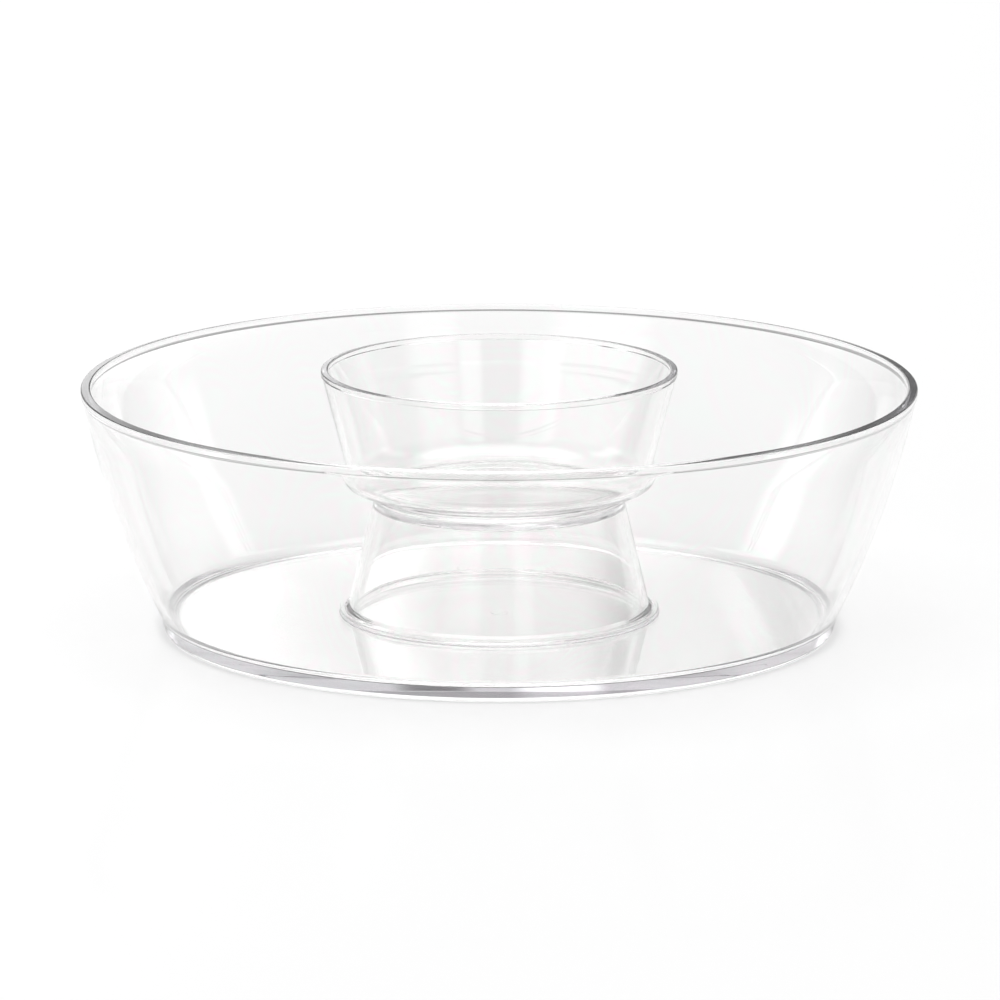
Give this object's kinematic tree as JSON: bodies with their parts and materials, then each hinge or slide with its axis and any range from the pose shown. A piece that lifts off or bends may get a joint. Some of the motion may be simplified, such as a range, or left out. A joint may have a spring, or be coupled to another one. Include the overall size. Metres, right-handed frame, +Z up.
{
  "type": "chip and dip server",
  "caption": "Clear round serving bowl with a flared wall and a ring foot, with a dip bowl held above its centre on a stand; stand and dip bowl lift out.",
  "frame": {"origin": "on the common axis of the bowls, at the surface that the chip bowl's foot stands on", "axes": "+Z up along the axis the pieces are turned about; X and Y are equivalent"},
  "size_m": [0.305, 0.305, 0.0954],
  "materials": {
    "clear_plastic": "polished, clear"
  },
  "bodies": {
    "chip_bowl": {"chip_bowl": "clear_plastic"},
    "dip_stand": {"dip_stand": "clear_plastic"},
    "dip_bowl": {"dip_bowl": "clear_plastic"}
  },
  "joints": [
    {"name": "stand_lift", "type": "slide", "parent": "chip_bowl", "child": "dip_stand", "axis": [0, 0, 1], "range_m": [0, 0.1]},
    {"name": "dip_bowl_lift", "type": "slide", "parent": "dip_stand", "child": "dip_bowl", "axis": [0, 0, 1], "range_m": [0, 0.06]}
  ]
}
